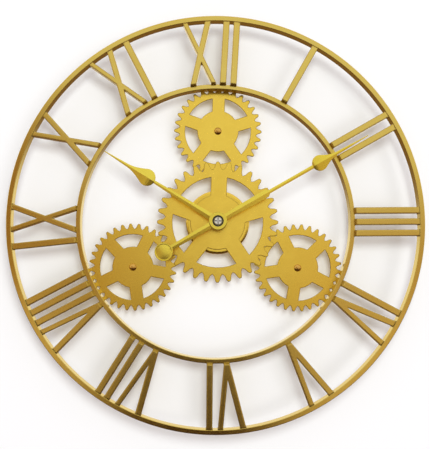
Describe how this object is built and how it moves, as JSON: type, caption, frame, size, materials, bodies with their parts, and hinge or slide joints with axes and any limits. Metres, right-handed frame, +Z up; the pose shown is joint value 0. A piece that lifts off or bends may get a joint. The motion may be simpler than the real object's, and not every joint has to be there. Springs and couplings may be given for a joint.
{
  "type": "skeleton wall clock",
  "caption": "Round open-work wall clock: two gold hoops joined by bar numerals, cut gear plates, folded hands and a quartz movement in a cup.",
  "frame": {"origin": "where the nail carries the hanger's slot, in the plane of the wall", "axes": "+Z up, +Y into the wall, +X to the right as the dial is seen from the front; the dial faces -Y"},
  "size_m": [0.6, 0.0516, 0.6],
  "materials": {
    "gold_paint": "satin gold paint over iron",
    "hand_gold": "gold lacquer, satin",
    "steel": "plain bright steel",
    "case_plastic": "black, fine grain",
    "wheel_plastic": "natural white acetal",
    "rubber": "matte",
    "board": "green lacquer",
    "coil_wire": "enamelled copper wire",
    "cell_jacket": "plain dark film"
  },
  "bodies": {
    "dial": {"outer_ring": "gold_paint", "inner_ring": "gold_paint", "one_bar": "gold_paint", "two_bar_1": "gold_paint", "two_bar_2": "gold_paint", "three_bar_1": "gold_paint", "three_bar_2": "gold_paint", "three_bar_3": "gold_paint", "four_bar": "gold_paint", "four_vee": "gold_paint", "five_vee": "gold_paint", "six_bar": "gold_paint", "six_vee": "gold_paint", "seven_bar_1": "gold_paint", "seven_bar_2": "gold_paint", "seven_vee": "gold_paint", "eight_bar_1": "gold_paint", "eight_bar_2": "gold_paint", "eight_bar_3": "gold_paint", "eight_vee": "gold_paint", "nine_bar": "gold_paint", "nine_cross": "gold_paint", "ten_cross": "gold_paint", "eleven_cross": "gold_paint", "eleven_bar": "gold_paint", "twelve_cross": "gold_paint", "twelve_bar_1": "gold_paint", "twelve_bar_2": "gold_paint", "top_gear": "gold_paint", "left_gear": "gold_paint", "right_gear": "gold_paint", "top_rivet": "hand_gold", "left_rivet": "hand_gold", "right_rivet": "hand_gold", "centre_gear": "gold_paint", "movement_cup": "gold_paint", "hanger": "gold_paint", "case_front": "case_plastic", "case_back": "case_plastic", "rubber_gasket": "rubber", "fixing_washer": "steel", "fixing_nut": "steel", "circuit_board": "board", "coil": "coil_wire", "stator": "steel", "gear_train_box": "wheel_plastic", "positive_contact": "steel", "negative_contact": "steel"},
    "minute_arbor": {"minute_shaft": "steel", "minute_hand": "hand_gold", "hand_nut": "steel"},
    "hour_arbor": {"hour_wheel": "wheel_plastic", "hour_hand": "hand_gold"},
    "intermediate_arbor": {"intermediate_wheel": "wheel_plastic"},
    "knob": {"setting_knob": "wheel_plastic"},
    "cell": {"battery": "cell_jacket"}
  },
  "joints": [
    {"name": "minute_turn", "type": "hinge", "parent": "dial", "child": "minute_arbor", "pos_m": [0, 0, -0.0616], "axis": [0, 1, 0], "continuous": true},
    {"name": "hour_turn", "type": "hinge", "parent": "dial", "child": "hour_arbor", "pos_m": [0, 0, -0.0616], "axis": [0, 1, 0], "continuous": true},
    {"name": "intermediate_turn", "type": "hinge", "parent": "dial", "child": "intermediate_arbor", "pos_m": [0.00707, 0, -0.05453], "axis": [0, 1, 0], "continuous": true},
    {"name": "knob_turn", "type": "hinge", "parent": "dial", "child": "knob", "pos_m": [0.01177, 0, -0.0457], "axis": [0, 1, 0], "continuous": true},
    {"name": "battery_slide", "type": "slide", "parent": "dial", "child": "cell", "axis": [0, 1, 0], "range_m": [0, 0.02]}
  ],
  "couplings": [
    {"joint": "hour_turn", "follows": "minute_turn", "ratio": 0.083333},
    {"joint": "intermediate_turn", "follows": "minute_turn", "ratio": -0.33333},
    {"joint": "knob_turn", "follows": "minute_turn", "ratio": 1}
  ]
}
